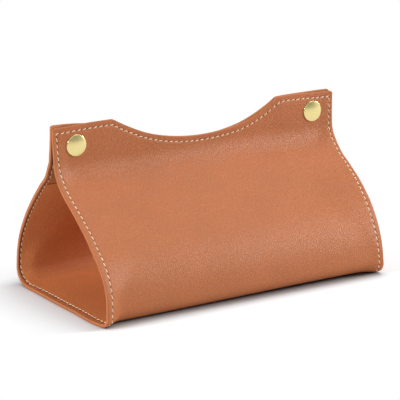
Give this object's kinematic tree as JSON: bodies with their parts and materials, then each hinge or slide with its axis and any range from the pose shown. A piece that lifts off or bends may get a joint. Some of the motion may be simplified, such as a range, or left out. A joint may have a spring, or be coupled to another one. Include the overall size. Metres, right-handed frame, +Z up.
{
  "type": "tissue box cover",
  "caption": "Folded leather cover for a soft pack of tissues, with open ends, upright lips closed by press studs and a notched mouth.",
  "frame": {"origin": "middle of the base's underside", "axes": "+X along the cover, +Y from the front panel with the caps to the back panel, +Z up"},
  "size_m": [0.25, 0.131, 0.1325],
  "materials": {
    "leather": "fine-grained, satin",
    "lining": "smooth, satin",
    "board": "matte",
    "brass": "polished",
    "spring_wire": "drawn wire"
  },
  "bodies": {
    "base": {"base_leather": "leather", "base_board": "board", "base_lining": "lining"},
    "front_lower": {"front_lower_leather": "leather", "front_lower_board": "board", "front_lower_lining": "lining"},
    "front_upper": {"front_upper_leather": "leather", "front_upper_board": "board", "front_upper_lining": "lining"},
    "front_lip": {"front_lip_leather": "leather", "front_lip_board": "board", "front_lip_lining": "lining", "snap_cap_left": "brass", "snap_socket_left": "brass", "snap_spring_left": "spring_wire", "snap_cap_right": "brass", "snap_socket_right": "brass", "snap_spring_right": "spring_wire"},
    "back_lower": {"back_lower_leather": "leather", "back_lower_board": "board", "back_lower_lining": "lining"},
    "back_upper": {"back_upper_leather": "leather", "back_upper_board": "board", "back_upper_lining": "lining"},
    "back_lip": {"back_lip_leather": "leather", "back_lip_board": "board", "back_lip_lining": "lining", "snap_stud_left": "brass", "snap_post_left": "brass", "snap_stud_right": "brass", "snap_post_right": "brass"}
  },
  "joints": [
    {"name": "front_fold", "type": "hinge", "parent": "base", "child": "front_lower", "pos_m": [0, -0.0614, 0.0041], "axis": [1, 0, 0], "range_deg": [0, 88]},
    {"name": "front_bulge_bend", "type": "hinge", "parent": "front_lower", "child": "front_upper", "pos_m": [0, -0.06047, 0.03632], "axis": [1, 0, 0], "range_deg": [0, 44]},
    {"name": "front_crease", "type": "hinge", "parent": "front_upper", "child": "front_lip", "pos_m": [0, 0.00549, 0.0966], "axis": [-1, 0, 0], "range_deg": [0, 44]},
    {"name": "back_fold", "type": "hinge", "parent": "base", "child": "back_lower", "pos_m": [0, 0.0614, 0.0041], "axis": [-1, 0, 0], "range_deg": [0, 88]},
    {"name": "back_bulge_bend", "type": "hinge", "parent": "back_lower", "child": "back_upper", "pos_m": [0, 0.06034, 0.04209], "axis": [-1, 0, 0], "range_deg": [0, 44]},
    {"name": "back_crease", "type": "hinge", "parent": "back_upper", "child": "back_lip", "pos_m": [0, 0.01086, 0.10309], "axis": [1, 0, 0], "range_deg": [0, 44]}
  ],
  "couplings": [
    {"joint": "front_bulge_bend", "follows": "front_fold", "ratio": 0.5},
    {"joint": "front_crease", "follows": "front_fold", "ratio": 0.5},
    {"joint": "back_bulge_bend", "follows": "back_fold", "ratio": 0.5},
    {"joint": "back_crease", "follows": "back_fold", "ratio": 0.5}
  ]
}
